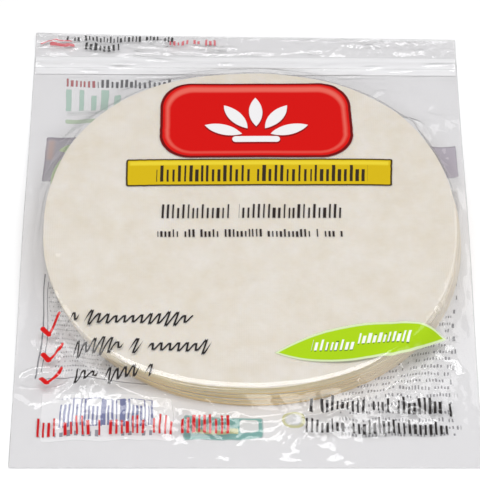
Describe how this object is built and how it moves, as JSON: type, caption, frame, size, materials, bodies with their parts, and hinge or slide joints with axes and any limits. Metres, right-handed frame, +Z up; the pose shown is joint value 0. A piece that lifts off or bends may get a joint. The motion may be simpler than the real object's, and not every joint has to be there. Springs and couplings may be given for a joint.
{
  "type": "bagged stack of spring roll wrappers",
  "caption": "Clear zip bag lying flat with a round stack of thin dried rice paper sheets shut inside it.",
  "frame": {"origin": "under the middle of the lying bag's box, on the surface it lies on", "axes": "+Z up, +Y from the bottom seal towards the zip end, +X to the right as the printed side is read"},
  "size_m": [0.237, 0.3, 0.0149],
  "materials": {
    "rice_paper": "matt dry rice sheet, cream, faintly woven, under clear film",
    "clear_film": "clear glossy film with printed fields of colour"
  },
  "bodies": {
    "root": {"bag": "rice_paper"}
  },
  "joints": []
}
